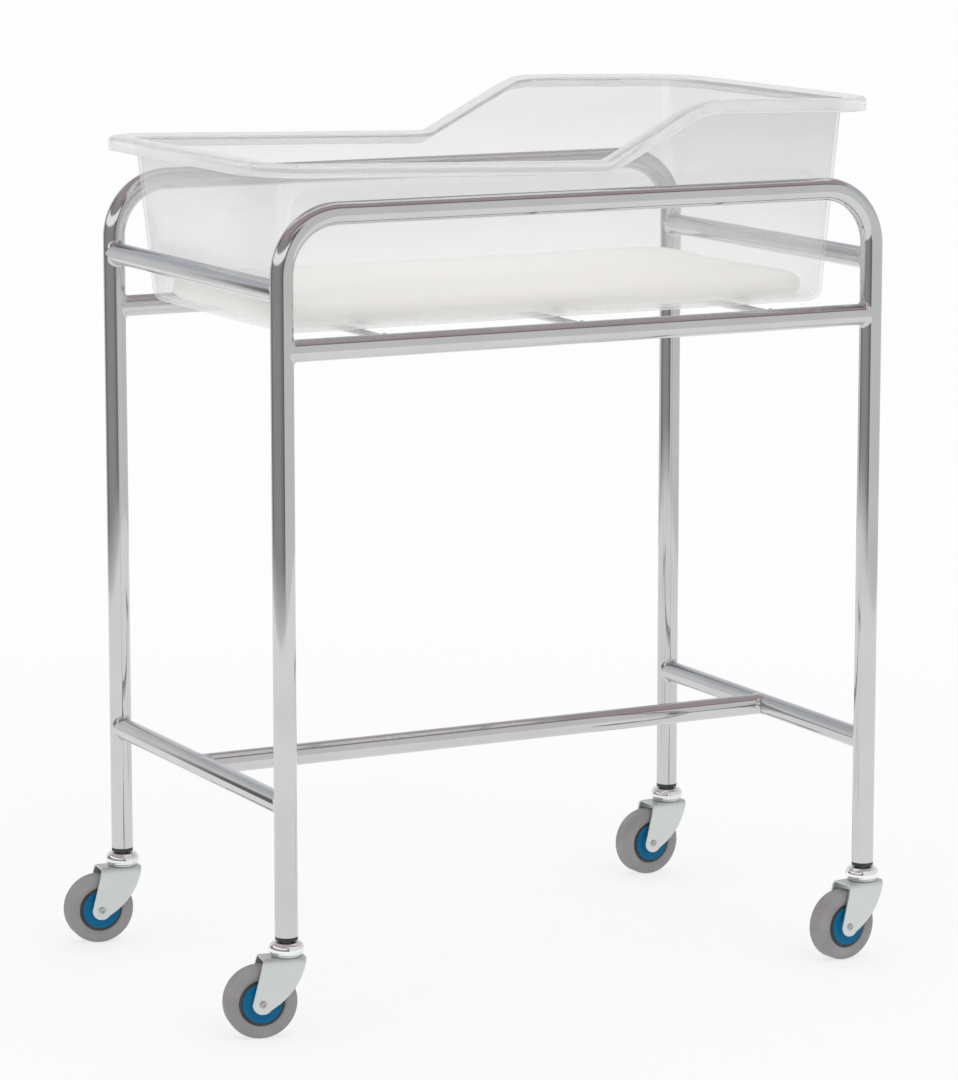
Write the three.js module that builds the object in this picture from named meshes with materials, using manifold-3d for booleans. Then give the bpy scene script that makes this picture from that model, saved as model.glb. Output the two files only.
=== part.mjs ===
// Hospital bassinet: a clear tub with a mattress on a chromed tube frame with four swivel casters.
// Millimetres, +Z up, the head end towards +X. The origin is on the floor, under the middle of the box.
import * as THREE from 'three';
import { mergeVertices } from 'three/addons/utils/BufferGeometryUtils.js';
import Module from 'manifold-3d';

const wasm = await Module();
wasm.setup();

// Clearances
const WELD_GAP = 0.3;
const SEAT_GAP = 0.3;
const RUNNING_GAP = 0.3;

// Frame tubes, by their centre lines
const FRAME_LENGTH = 730;
const FRAME_WIDTH = 455;
const TUBE_DIAMETER = 25;
const TUBE_WALL = 1.5;
const HOOP_HEIGHT = 887.5;
const HOOP_BEND_RADIUS = 65;
const LOWER_RAIL_DROP = 143.5;
const END_RAIL_BEND_CLEARANCE = 4;
const LOW_RAIL_HEIGHT = 253;

// Rods that carry the tub
const ROD_DIAMETER = 8;
const ROD_RISE = 6;
const ROD_SPACING = 240;
const ROD_COUNT = 3;

// Tub, by its outer faces. The rim falls a little from the foot to the head, beside its step.
const TUB_SHIFT = -3.5;
const TUB_END_CLEARANCE = 2.5;
const TUB_SIDE_CLEARANCE = 10;
const TUB_END_FLARE = 9;
const TUB_SIDE_FLARE = 23.5;
const TUB_CORNER_RADIUS = 20;
const TUB_MOUTH_CORNER_RADIUS = 22;
const TUB_FLOOR_RADIUS = 16;
const TUB_WALL = 4;
const FOOT_RIM_ABOVE_HOOP = 29.5;
const RIM_STEP_HEIGHT = 65.5;
const RIM_SLOPE = -0.028;
const RIM_STEP_START = 32;
const RIM_STEP_END = 152;
const RIM_STEP_LOW_EASE = 0.03;
const RIM_STEP_HIGH_EASE = 0.1;
const END_FLANGE_WIDTH = 38;
const SIDE_FLANGE_WIDTH = 27;
const FLANGE_CORNER_RADIUS = 70;
const FLANGE_RISE = 2;
const FLANGE_ROOT_RADIUS = 6;
const LIP_HEIGHT = 14.5;
const LIP_RADIUS = 5;

// Mattress
const MATTRESS_END_ROOM = 4;
const MATTRESS_SIDE_ROOM = 5;
const MATTRESS_EDGE_HEIGHT = 28;
const MATTRESS_CROWN = 8;
const MATTRESS_EDGE_RADIUS = 10;
const MATTRESS_CORNER_RADIUS = 34;
const MATTRESS_DRAWN_IN = 3;

// Casters
const WHEEL_DIAMETER = 80;
const TYRE_WIDTH = 25;
const TYRE_TREAD_WIDTH = 14;
const TYRE_SHOULDER = 5.5;
const TYRE_SIDE_RECESS = 1.5;
const CORE_DIAMETER = 50;
const CORE_WIDTH = 20;
const HUB_DIAMETER = 17;
const HUB_WIDTH = 26;
const DISC_DIAMETER = 44;
const DISC_THICKNESS = 2;
const BUSH_DIAMETER = 12;
const AXLE_DIAMETER = 8;
const AXLE_END = 1.5;
const CASTER_TRAIL = 30;
const FORK_GAUGE = 2.5;
const FORK_SIDE_CLEARANCE = 1.5;
const FORK_TOP_CLEARANCE = 6.5;
const FORK_FRONT = 18.5;
const FORK_BACK = 29;
const FORK_TIP_RADIUS = 11.5;
const FORK_LEADING_BULGE = 13;
const FORK_LEADING_ANGLE = 216;
const RACE_DIAMETER = 34;
const RACE_BORE = 22;
const RACE_HEIGHT = 2.2;
const DOME_DIAMETER = 39;
const DOME_RIM_HEIGHT = 3;
const DOME_HEIGHT = 13.2;
const NECK_DIAMETER = 23;
const NECK_HEIGHT = 0.5;
const STEM_DIAMETER = 10;
const STEM_HEAD_DIAMETER = 16;
const STEM_HEAD_HEIGHT = 2.5;
const SLEEVE_FLANGE_HEIGHT = 4;
const SLEEVE_PLUG_HEIGHT = 25;

// Where each caster stands, and the way its wheel trails, in degrees from +X
const CASTERS = [
  { name: 'front_left', side: [-1, -1], trail: 168.7 },
  { name: 'rear_left', side: [-1, 1], trail: 173.7 },
  { name: 'rear_right', side: [1, 1], trail: 184.7 },
  { name: 'front_right', side: [1, -1], trail: 187.7 },
];

// Facets of the round pieces
const TUBE_SIDES = 16;
const BORE_SIDES = 12;
const BEND_STEPS = 6;
const ROD_SIDES = 10;
const TYRE_SIDES = 24;
const WHEEL_SIDES = 16;
const PIN_SIDES = 12;
const CORNER_STEPS = 5;
const ARC_STEPS = 3;
const MATTRESS_SIDE_STEPS = 6;
const MATTRESS_TOP_STEPS = 4;
const CURVE_STEPS = 5;

// Where the long sides of the rim are drawn, as shares of the step's run
const RIM_STATIONS = [-0.2, -0.05, 0.05, 0.2, 0.75, 0.92, 1.05, 1.25];
const QUARTER_TURN = Math.PI / 2;

// Heights and radii that follow from the sizes above
const TUBE_RADIUS = TUBE_DIAMETER / 2;
const TUBE_BORE_RADIUS = TUBE_RADIUS - TUBE_WALL;
const LEG_X = FRAME_LENGTH / 2;
const LEG_Y = FRAME_WIDTH / 2;
const WHEEL_RADIUS = WHEEL_DIAMETER / 2;
const FORK_BOTTOM = WHEEL_DIAMETER + FORK_TOP_CLEARANCE;
const FORK_TOP = FORK_BOTTOM + FORK_GAUGE;
const RACE_BOTTOM = FORK_TOP + RUNNING_GAP;
const RACE_TOP = RACE_BOTTOM + RACE_HEIGHT;
const DOME_BOTTOM = RACE_TOP + SEAT_GAP;
const DOME_TOP = DOME_BOTTOM + DOME_HEIGHT;
const SLEEVE_BOTTOM = DOME_TOP + NECK_HEIGHT + SEAT_GAP;
const LEG_BOTTOM = SLEEVE_BOTTOM + SLEEVE_FLANGE_HEIGHT + SEAT_GAP;
const FORK_INNER = TYRE_WIDTH / 2 + FORK_SIDE_CLEARANCE;
const FORK_OUTER = FORK_INNER + FORK_GAUGE;
const LOWER_RAIL_HEIGHT = HOOP_HEIGHT - LOWER_RAIL_DROP;
const END_RAIL_HEIGHT = HOOP_HEIGHT - HOOP_BEND_RADIUS - TUBE_RADIUS - END_RAIL_BEND_CLEARANCE;
const ROD_HEIGHT = LOWER_RAIL_HEIGHT + ROD_RISE;
const TUB_BOTTOM = ROD_HEIGHT + ROD_DIAMETER / 2 + SEAT_GAP;
const TUB_MOUTH_LENGTH = FRAME_LENGTH - TUBE_DIAMETER - 2 * TUB_END_CLEARANCE;
const TUB_MOUTH_WIDTH = FRAME_WIDTH - TUBE_DIAMETER - 2 * TUB_SIDE_CLEARANCE;
const TUB_FLOOR_LENGTH = TUB_MOUTH_LENGTH - 2 * TUB_END_FLARE;
const TUB_FLOOR_WIDTH = TUB_MOUTH_WIDTH - 2 * TUB_SIDE_FLARE;
const FOOT_RIM_HEIGHT = HOOP_HEIGHT + TUBE_RADIUS + FOOT_RIM_ABOVE_HOOP;
const MATTRESS_LENGTH = TUB_FLOOR_LENGTH - 2 * (TUB_WALL + MATTRESS_END_ROOM);
const MATTRESS_WIDTH = TUB_FLOOR_WIDTH - 2 * (TUB_WALL + MATTRESS_SIDE_ROOM);
const MATTRESS_BOTTOM = TUB_BOTTOM + TUB_WALL + SEAT_GAP;

// Finishes
const finish = (color, roughness, metalness) =>
  new THREE.MeshStandardMaterial({ color, roughness, metalness });
const chrome = () => finish(0xc4c6c8, 0.12, 1);
const zinc = () => finish(0xc3cbc8, 0.4, 0.9);
const clearPlastic = () => finish(0xe4e8e8, 0.1, 0);
const blackPlastic = () => finish(0x1c2430, 0.5, 0);
const bluePlastic = () => finish(0x056496, 0.45, 0);
const greyRubber = () => finish(0x8c888a, 0.8, 0);
const cream = () => finish(0xf5f3ec, 0.9, 0);

// A closed triangle mesh as a solid that can be joined and cut, turned so that its faces point out.
function solid(geometry) {
  const bare = geometry.clone();
  bare.deleteAttribute('normal');
  bare.deleteAttribute('uv');
  const merged = mergeVertices(bare);
  const places = merged.attributes.position.array;
  const corners = merged.index.array;
  const triangles = [];
  const [a, b, c] = [new THREE.Vector3(), new THREE.Vector3(), new THREE.Vector3()];
  let volume = 0;
  for (let i = 0; i < corners.length; i += 3) {
    const [p, q, r] = corners.slice(i, i + 3);
    if (p === q || q === r || r === p) continue;
    triangles.push([p, q, r]);
    volume += a.fromArray(places, p * 3).dot(b.fromArray(places, q * 3).cross(c.fromArray(places, r * 3)));
  }
  if (volume < 0) triangles.forEach((triangle) => triangle.reverse());
  const mesh = { numProp: 3, vertProperties: places, triVerts: new Uint32Array(triangles.flat()) };
  return new wasm.Manifold(new wasm.Mesh(mesh));
}

function named(name, body, material) {
  const mesh = body.getMesh();
  const geometry = new THREE.BufferGeometry();
  geometry.setAttribute('position', new THREE.BufferAttribute(new Float32Array(mesh.vertProperties), 3));
  geometry.setIndex(new THREE.BufferAttribute(new Uint32Array(mesh.triVerts), 1));
  geometry.computeVertexNormals();
  const part = new THREE.Mesh(geometry, material);
  part.name = name;
  return part;
}

// The corner radius of a many-sided bore whose flats keep clear of a round pin of this radius.
const boreCorner = (radius, sides) => radius / Math.cos(Math.PI / sides);

function polygon(radius, sides) {
  const step = (2 * Math.PI) / sides;
  return Array.from({ length: sides }, (_, i) => {
    const angle = (i + 0.5) * step;
    return new THREE.Vector2(radius * Math.cos(angle), radius * Math.sin(angle));
  });
}

function tubeSection() {
  const section = new THREE.Shape(polygon(TUBE_RADIUS, TUBE_SIDES));
  section.holes.push(new THREE.Path(polygon(boreCorner(TUBE_BORE_RADIUS, BORE_SIDES), BORE_SIDES)));
  return section;
}

// A bar along X, Y or Z through a point, with its length centred there.
function bar(section, axis, length, centre) {
  const geometry = new THREE.ExtrudeGeometry(section, { depth: length, steps: 1, bevelEnabled: false });
  geometry.translate(0, 0, -length / 2);
  if (axis === 'x') geometry.rotateY(Math.PI / 2);
  if (axis === 'y') geometry.rotateX(Math.PI / 2);
  geometry.translate(...centre);
  return solid(geometry);
}

// A turned piece about the Z axis or, for wheels, about the Y axis, from its [radius, along] profile.
function turned(profile, sides, axis = 'z') {
  const points = profile.map(([radius, along]) => new THREE.Vector2(radius, along));
  if (profile[0][0] > 0) points.push(points[0].clone());
  const geometry = new THREE.LatheGeometry(points, sides, Math.PI / sides);
  if (axis === 'z') geometry.rotateX(Math.PI / 2);
  return solid(geometry);
}

// The leg of a hoop, fattened by the weld gap, to cope the tubes that meet it.
function tubeCutter(axis, length, centre) {
  const radius = boreCorner(TUBE_RADIUS + WELD_GAP, TUBE_SIDES);
  return bar(new THREE.Shape(polygon(radius, TUBE_SIDES)), axis, length, centre);
}

// The centre line of a hoop: up one leg, round a bend, along the top, round a bend and down.
class HoopLine extends THREE.Curve {
  constructor(y) {
    super();
    this.stations = [];
    const bendX = LEG_X - HOOP_BEND_RADIUS;
    const bendZ = HOOP_HEIGHT - HOOP_BEND_RADIUS;
    const add = (x, z, tangentX, tangentZ) => {
      const tangent = new THREE.Vector3(tangentX, 0, tangentZ);
      this.stations.push({ point: new THREE.Vector3(x, y, z), tangent });
    };
    add(-LEG_X, LEG_BOTTOM, 0, 1);
    for (const side of [-1, 1]) {
      for (let i = 0; i <= BEND_STEPS; i += 1) {
        const turn = QUARTER_TURN * (side < 0 ? i / BEND_STEPS : 1 - i / BEND_STEPS);
        const across = side * (bendX + HOOP_BEND_RADIUS * Math.cos(turn));
        add(across, bendZ + HOOP_BEND_RADIUS * Math.sin(turn), Math.sin(turn), -side * Math.cos(turn));
      }
    }
    add(LEG_X, LEG_BOTTOM, 0, -1);
  }

  getUtoTmapping(u) {
    return u;
  }

  station(t) {
    return this.stations[Math.round(t * (this.stations.length - 1))];
  }

  getPoint(t, target = new THREE.Vector3()) {
    return target.copy(this.station(t).point);
  }

  getTangent(t, target = new THREE.Vector3()) {
    return target.copy(this.station(t).tangent);
  }
}

function hoop(name, y) {
  const line = new HoopLine(y);
  const options = { steps: line.stations.length - 1, extrudePath: line, bevelEnabled: false };
  return named(name, solid(new THREE.ExtrudeGeometry(tubeSection(), options)), chrome());
}

// A straight tube whose two ends are coped round the tubes that it meets.
function rail(name, axis, length, centre, section, meets) {
  const body = meets.reduce((rest, cutter) => rest.subtract(cutter), bar(section, axis, length, centre));
  return named(name, body, chrome());
}

function legCutters(legs) {
  const length = HOOP_HEIGHT - LEG_BOTTOM;
  return legs.map(([x, y]) => tubeCutter('z', length, [x, y, LEG_BOTTOM + length / 2]));
}

function frame() {
  const group = new THREE.Group();
  const sides = [['front', -1], ['rear', 1]];
  const ends = [['left', -1], ['right', 1]];
  const section = tubeSection();
  for (const [name, side] of sides) {
    const y = side * LEG_Y;
    const legs = legCutters([[-LEG_X, y], [LEG_X, y]]);
    group.add(hoop(`${name}_hoop`, y));
    group.add(rail(`${name}_lower_rail`, 'x', FRAME_LENGTH, [0, y, LOWER_RAIL_HEIGHT], section, legs));
  }
  for (const [name, end] of ends) {
    const x = end * LEG_X;
    const legs = legCutters([[x, -LEG_Y], [x, LEG_Y]]);
    group.add(rail(`${name}_end_rail`, 'y', FRAME_WIDTH, [x, 0, END_RAIL_HEIGHT], section, legs));
    group.add(rail(`${name}_low_rail`, 'y', FRAME_WIDTH, [x, 0, LOW_RAIL_HEIGHT], section, legs));
  }
  const lowRails = ends.map(([, end]) => tubeCutter('y', FRAME_WIDTH, [end * LEG_X, 0, LOW_RAIL_HEIGHT]));
  group.add(rail('stretcher', 'x', FRAME_LENGTH, [0, 0, LOW_RAIL_HEIGHT], section, lowRails));
  const rodSection = new THREE.Shape(polygon(ROD_DIAMETER / 2, ROD_SIDES));
  const railCutters = sides.map(([, side]) =>
    tubeCutter('x', FRAME_LENGTH, [0, side * LEG_Y, LOWER_RAIL_HEIGHT]));
  for (let i = 0; i < ROD_COUNT; i += 1) {
    const x = (i - (ROD_COUNT - 1) / 2) * ROD_SPACING;
    const rodName = `tub_rod_${i + 1}`;
    group.add(rail(rodName, 'y', FRAME_WIDTH, [x, 0, ROD_HEIGHT], rodSection, railCutters));
  }
  return group;
}

// How far the rim has climbed from the foot to the head, from 0 to 1, with eased corners.
function rimClimb(x) {
  const t = (x - RIM_STEP_START) / (RIM_STEP_END - RIM_STEP_START);
  return (1 + Math.hypot(t, RIM_STEP_LOW_EASE) - Math.hypot(1 - t, RIM_STEP_HIGH_EASE)) / 2;
}

// Stations round a rectangle with round corners: a point and the way out from it.
// The long sides also get a station at each of the places along X.
function roundStations(length, width, radius, places) {
  const stations = [];
  const corner = (x, y, first) => {
    for (let i = 0; i <= CORNER_STEPS; i += 1) {
      const angle = first + QUARTER_TURN * (i / CORNER_STEPS);
      const out = new THREE.Vector2(Math.cos(angle), Math.sin(angle));
      const point = new THREE.Vector2(x * (length / 2 - radius), y * (width / 2 - radius));
      stations.push({ point: point.addScaledVector(out, radius), out });
    }
  };
  const side = (y, order) => {
    for (const x of order) {
      stations.push({ point: new THREE.Vector2(x, (y * width) / 2), out: new THREE.Vector2(0, y) });
    }
  };
  corner(1, 1, 0);
  side(1, [...places].reverse());
  corner(-1, 1, QUARTER_TURN);
  corner(-1, -1, 2 * QUARTER_TURN);
  side(-1, places);
  corner(1, -1, 3 * QUARTER_TURN);
  return stations;
}

// Points on an arc, from one angle to another, as [across, up].
function arc(across, up, radius, from, to) {
  return Array.from({ length: ARC_STEPS + 1 }, (_, i) => {
    const angle = from + (to - from) * (i / ARC_STEPS);
    return [across + radius * Math.cos(angle), up + radius * Math.sin(angle)];
  });
}

// A solid whose skin runs from the middle of its underside, ring by ring, to the middle of its top.
function ringed(rings) {
  const size = rings[0].length;
  const middle = (ring) =>
    ring.reduce((sum, point) => sum.add(point), new THREE.Vector3()).divideScalar(ring.length);
  const places = [middle(rings[0]), ...rings.flat(), middle(rings[rings.length - 1])];
  const last = places.length - 1;
  const index = [];
  for (let i = 0; i < size; i += 1) {
    const next = (i + 1) % size;
    index.push(0, 1 + next, 1 + i);
    for (let j = 0; j + 1 < rings.length; j += 1) {
      const low = 1 + j * size;
      const high = low + size;
      index.push(low + i, low + next, high + next, low + i, high + next, high + i);
    }
    index.push(last, last - size + i, last - size + next);
  }
  const geometry = new THREE.BufferGeometry().setFromPoints(places);
  geometry.setIndex(index);
  return solid(geometry);
}

function tub() {
  const run = RIM_STEP_END - RIM_STEP_START;
  const places = RIM_STATIONS.map((share) => RIM_STEP_START + run * share);
  const floor = roundStations(TUB_FLOOR_LENGTH, TUB_FLOOR_WIDTH, TUB_CORNER_RADIUS, places);
  const mouth = roundStations(TUB_MOUTH_LENGTH, TUB_MOUTH_WIDTH, TUB_MOUTH_CORNER_RADIUS, places);
  const edgeLength = TUB_MOUTH_LENGTH + 2 * END_FLANGE_WIDTH;
  const edgeWidth = TUB_MOUTH_WIDTH + 2 * SIDE_FLANGE_WIDTH;
  const edge = roundStations(edgeLength, edgeWidth, FLANGE_CORNER_RADIUS, places);
  const floorHeight = () => TUB_BOTTOM;
  const rimHeight = (x) => FOOT_RIM_HEIGHT + RIM_SLOPE * x + RIM_STEP_HEIGHT * rimClimb(x);
  const ringsOn = (stations, height, profile) =>
    profile.map(([across, up]) =>
      stations.map(({ point, out }) => {
        const place = point.clone().addScaledVector(out, across);
        return new THREE.Vector3(place.x, place.y, height(point.x) + up);
      }));
  const floorArc = (radius, from, to) =>
    ringsOn(floor, floorHeight, arc(-TUB_FLOOR_RADIUS, TUB_FLOOR_RADIUS, radius, from, to));
  const root = FLANGE_ROOT_RADIUS - TUB_WALL;
  const rootArc = (radius, from, to) =>
    ringsOn(mouth, rimHeight, arc(root, -FLANGE_ROOT_RADIUS, radius, from, to));
  const lip = [
    [-TUB_WALL, FLANGE_RISE - TUB_WALL],
    [-TUB_WALL, FLANGE_RISE - LIP_HEIGHT],
    [0, FLANGE_RISE - LIP_HEIGHT],
    ...arc(-LIP_RADIUS, FLANGE_RISE - LIP_RADIUS, LIP_RADIUS, 0, QUARTER_TURN),
  ];
  const rings = [
    ...floorArc(TUB_FLOOR_RADIUS, -QUARTER_TURN, 0),
    ...rootArc(root, 2 * QUARTER_TURN, QUARTER_TURN),
    ...ringsOn(edge, rimHeight, lip),
    ...rootArc(FLANGE_ROOT_RADIUS, QUARTER_TURN, 2 * QUARTER_TURN),
    ...floorArc(TUB_FLOOR_RADIUS - TUB_WALL, 0, -QUARTER_TURN),
  ];
  return named('tub', ringed(rings), clearPlastic());
}

function mattress() {
  const places = Array.from({ length: MATTRESS_SIDE_STEPS }, (_, i) =>
    (MATTRESS_LENGTH / 2 - MATTRESS_CORNER_RADIUS) * ((2 * i + 1) / MATTRESS_SIDE_STEPS - 1));
  const edge = roundStations(MATTRESS_LENGTH, MATTRESS_WIDTH, MATTRESS_CORNER_RADIUS, places);
  const radius = MATTRESS_EDGE_RADIUS;
  const skirt = [
    ...arc(-radius, radius, radius, -QUARTER_TURN, 0),
    ...arc(-radius, MATTRESS_EDGE_HEIGHT - radius, radius, 0, QUARTER_TURN),
  ];
  // Each side is drawn in most at its middle and not at all at its corners.
  const drawnIn = (point) => {
    const along = Math.min(1, Math.abs(point.x) / (MATTRESS_LENGTH / 2));
    const across = Math.min(1, Math.abs(point.y) / (MATTRESS_WIDTH / 2));
    return MATTRESS_DRAWN_IN * (1 - along * across);
  };
  const rings = skirt.map(([across, up]) =>
    edge.map(({ point, out }) => {
      const place = point.clone().addScaledVector(out, across - drawnIn(point));
      return new THREE.Vector3(place.x, place.y, MATTRESS_BOTTOM + up);
    }));
  // The top swells from its brim towards the middle.
  const brim = rings[rings.length - 1];
  for (let i = 1; i < MATTRESS_TOP_STEPS; i += 1) {
    const share = i / MATTRESS_TOP_STEPS;
    const lift = MATTRESS_CROWN * Math.sin(QUARTER_TURN * share);
    rings.push(brim.map(({ x, y, z }) => new THREE.Vector3(x * (1 - share), y * (1 - share), z + lift)));
  }
  return named('mattress', ringed(rings), cream());
}

function pinCutter(radius, axis, length, centre) {
  const section = new THREE.Shape(polygon(boreCorner(radius + RUNNING_GAP, PIN_SIDES), PIN_SIDES));
  return bar(section, axis, length, centre);
}

// A pressed fork: a flat plate under the bearing and two cheeks that sweep back to the axle.
function fork() {
  const leading = THREE.MathUtils.degToRad(FORK_LEADING_ANGLE);
  const lead = [
    CASTER_TRAIL + FORK_TIP_RADIUS * Math.cos(leading),
    WHEEL_RADIUS + FORK_TIP_RADIUS * Math.sin(leading),
  ];
  const outline = new THREE.Shape();
  outline.moveTo(-FORK_FRONT, FORK_TOP);
  outline.quadraticCurveTo(-FORK_LEADING_BULGE, WHEEL_RADIUS + FORK_TIP_RADIUS, lead[0], lead[1]);
  outline.absarc(CASTER_TRAIL, WHEEL_RADIUS, FORK_TIP_RADIUS, leading, 4 * QUARTER_TURN, false);
  outline.lineTo(FORK_BACK, FORK_TOP);
  const cheek = new THREE.ExtrudeGeometry(outline, {
    depth: FORK_GAUGE, steps: 1, bevelEnabled: false, curveSegments: CURVE_STEPS,
  });
  cheek.rotateX(Math.PI / 2);
  const plate = new THREE.BoxGeometry(FORK_FRONT + FORK_BACK, 2 * FORK_OUTER, FORK_GAUGE);
  plate.translate((FORK_BACK - FORK_FRONT) / 2, 0, FORK_TOP - FORK_GAUGE / 2);
  const axleCut = 2 * (FORK_OUTER + AXLE_END);
  const stemCut = 2 * (FORK_GAUGE + RUNNING_GAP);
  return solid(plate)
    .add(solid(cheek.clone().translate(0, FORK_OUTER, 0)))
    .add(solid(cheek.clone().translate(0, -FORK_INNER, 0)))
    .subtract(pinCutter(AXLE_DIAMETER / 2, 'y', axleCut, [CASTER_TRAIL, 0, WHEEL_RADIUS]))
    .subtract(pinCutter(STEM_DIAMETER / 2, 'z', stemCut, [0, 0, FORK_TOP]));
}

// One caster in its own frame: the swivel axis is Z and the wheel trails along +X.
function caster(name) {
  const group = new THREE.Group();
  const stemBore = boreCorner(STEM_DIAMETER / 2 + RUNNING_GAP, WHEEL_SIDES);
  const plugTop = LEG_BOTTOM + SLEEVE_PLUG_HEIGHT;
  const plugRadius = TUBE_BORE_RADIUS - SEAT_GAP;
  const sleeve = [
    [stemBore, SLEEVE_BOTTOM],
    [TUBE_RADIUS, SLEEVE_BOTTOM],
    [TUBE_RADIUS, SLEEVE_BOTTOM + SLEEVE_FLANGE_HEIGHT],
    [plugRadius, SLEEVE_BOTTOM + SLEEVE_FLANGE_HEIGHT],
    [plugRadius, plugTop],
    [stemBore, plugTop],
  ];
  group.add(named(`${name}_sleeve`, turned(sleeve, WHEEL_SIDES), blackPlastic()));

  const headTop = FORK_BOTTOM - RUNNING_GAP;
  const stem = [
    [0, headTop - STEM_HEAD_HEIGHT],
    [STEM_HEAD_DIAMETER / 2, headTop - STEM_HEAD_HEIGHT],
    [STEM_HEAD_DIAMETER / 2, headTop],
    [STEM_DIAMETER / 2, headTop],
    [STEM_DIAMETER / 2, plugTop],
    [0, plugTop],
  ];
  group.add(named(`${name}_stem`, turned(stem, PIN_SIDES), zinc()));

  const rimTop = DOME_BOTTOM + DOME_RIM_HEIGHT;
  const swell = (DOME_DIAMETER - NECK_DIAMETER) / 2;
  const dome = [
    [stemBore, DOME_BOTTOM],
    [DOME_DIAMETER / 2, DOME_BOTTOM],
    ...arc(0, 0, 1, 0, QUARTER_TURN).map(([across, up]) => [
      NECK_DIAMETER / 2 + swell * across,
      rimTop + (DOME_TOP - rimTop) * up,
    ]),
    [NECK_DIAMETER / 2, DOME_TOP + NECK_HEIGHT],
    [stemBore, DOME_TOP + NECK_HEIGHT],
  ];
  group.add(named(`${name}_dome_cap`, turned(dome, WHEEL_SIDES), chrome()));

  const race = [
    [RACE_BORE / 2, RACE_BOTTOM],
    [RACE_DIAMETER / 2, RACE_BOTTOM],
    [RACE_DIAMETER / 2, RACE_TOP],
    [RACE_BORE / 2, RACE_TOP],
  ];
  group.add(named(`${name}_ball_race`, turned(race, WHEEL_SIDES), zinc()));
  group.add(named(`${name}_fork`, fork(), zinc()));

  const axle = new THREE.Group();
  axle.position.set(CASTER_TRAIL, 0, WHEEL_RADIUS);
  group.add(axle);
  const axleEnd = FORK_OUTER + AXLE_END;
  const pin = [[0, -axleEnd], [AXLE_DIAMETER / 2, -axleEnd], [AXLE_DIAMETER / 2, axleEnd], [0, axleEnd]];
  axle.add(named(`${name}_axle`, turned(pin, PIN_SIDES, 'y'), zinc()));

  const bushBore = boreCorner(AXLE_DIAMETER / 2 + RUNNING_GAP, PIN_SIDES);
  const bushEnd = FORK_INNER - RUNNING_GAP;
  const bush = [
    [bushBore, -bushEnd],
    [BUSH_DIAMETER / 2, -bushEnd],
    [BUSH_DIAMETER / 2, bushEnd],
    [bushBore, bushEnd],
  ];
  axle.add(named(`${name}_axle_bush`, turned(bush, PIN_SIDES, 'y'), zinc()));

  const coreBore = boreCorner(BUSH_DIAMETER / 2 + RUNNING_GAP, WHEEL_SIDES);
  const mirrored = (half) => [...half, ...half.map(([radius, along]) => [radius, -along]).reverse()];
  const core = mirrored([
    [coreBore, HUB_WIDTH / 2],
    [HUB_DIAMETER / 2, HUB_WIDTH / 2],
    [HUB_DIAMETER / 2, CORE_WIDTH / 2],
    [CORE_DIAMETER / 2, CORE_WIDTH / 2],
  ]);
  axle.add(named(`${name}_wheel_core`, turned(core, WHEEL_SIDES, 'y'), blackPlastic()));

  const treadRadius = boreCorner(WHEEL_RADIUS, TYRE_SIDES);
  const tyreBore = boreCorner(CORE_DIAMETER / 2 + SEAT_GAP, TYRE_SIDES);
  const shoulderMid = (TYRE_TREAD_WIDTH + TYRE_WIDTH) / 4;
  const tyre = mirrored([
    [tyreBore, TYRE_WIDTH / 2 - TYRE_SIDE_RECESS],
    [treadRadius - TYRE_SHOULDER, TYRE_WIDTH / 2],
    [treadRadius - TYRE_SHOULDER / 4, shoulderMid],
    [treadRadius, TYRE_TREAD_WIDTH / 2],
  ]);
  axle.add(named(`${name}_tyre`, turned(tyre, TYRE_SIDES, 'y'), greyRubber()));

  const discBore = boreCorner(HUB_DIAMETER / 2 + SEAT_GAP, WHEEL_SIDES);
  const discInner = CORE_WIDTH / 2 + SEAT_GAP;
  for (const [sideName, side] of [['outer', -1], ['inner', 1]]) {
    const disc = [
      [discBore, side * discInner],
      [DISC_DIAMETER / 2, side * discInner],
      [DISC_DIAMETER / 2, side * (discInner + DISC_THICKNESS)],
      [discBore, side * (discInner + DISC_THICKNESS)],
    ];
    axle.add(named(`${name}_${sideName}_disc`, turned(disc, WHEEL_SIDES, 'y'), bluePlastic()));
  }
  return group;
}

// The whole bassinet, moved so that the middle of its box stands over the origin.
const bassinet = new THREE.Group();
const assembly = new THREE.Group();
const cot = new THREE.Group();
cot.position.x = TUB_SHIFT;
cot.add(tub(), mattress());
assembly.add(frame(), cot);
for (const { name, side, trail } of CASTERS) {
  const unit = caster(name);
  unit.position.set(side[0] * LEG_X, side[1] * LEG_Y, 0);
  unit.rotation.z = THREE.MathUtils.degToRad(trail);
  assembly.add(unit);
}
const box = new THREE.Box3().setFromObject(assembly, true);
const middle = box.getCenter(new THREE.Vector3());
assembly.position.set(-middle.x, -middle.y, 0);
bassinet.add(assembly);
bassinet.updateMatrixWorld(true);

export default bassinet;
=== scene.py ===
"""Hospital bassinet: chromed tubes, a clear tub, a stuffed mattress and casters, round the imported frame."""

import math

import bmesh
import bpy
from mathutils import Matrix, Vector


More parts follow.
